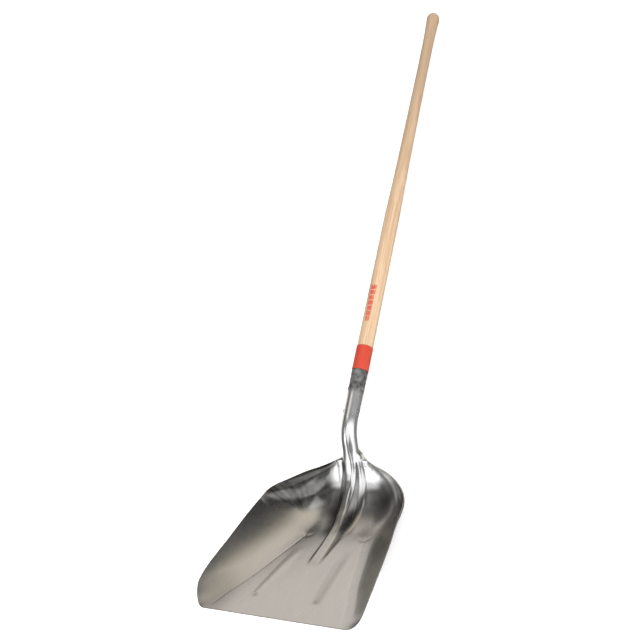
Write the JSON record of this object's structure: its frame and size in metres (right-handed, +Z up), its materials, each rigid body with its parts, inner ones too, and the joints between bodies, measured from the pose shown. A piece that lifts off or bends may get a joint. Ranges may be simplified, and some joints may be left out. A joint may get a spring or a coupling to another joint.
{
  "type": "scoop shovel",
  "caption": "Wide pressed sheet-metal scoop with raised sides and back, a rolled riveted socket, and a long straight tapered wooden handle with a rounded knob.",
  "frame": {"origin": "middle of the tool's footprint, on the floor that it lies on, open side up, on the heel of its scoop and the knob of its handle", "axes": "+Y along the tool from the front edge of the scoop to the knob, +Z up from the floor, X across the scoop, with X = 0 the plane of symmetry"},
  "size_m": [0.4142, 1.6244, 0.2065],
  "materials": {
    "scoop_sheet": "brushed floor, polished frog and socket",
    "handle_wood": "pale ash, sanded and clear lacquered",
    "band_plastic": "smooth red, slightly glossy",
    "rivet_metal": "dull plated"
  },
  "bodies": {
    "root": {"blade": "scoop_sheet", "handle": "handle_wood", "colour_band": "band_plastic", "upper_rivet": "rivet_metal", "lower_rivet": "rivet_metal", "rivet_washers": "rivet_metal"}
  },
  "joints": []
}
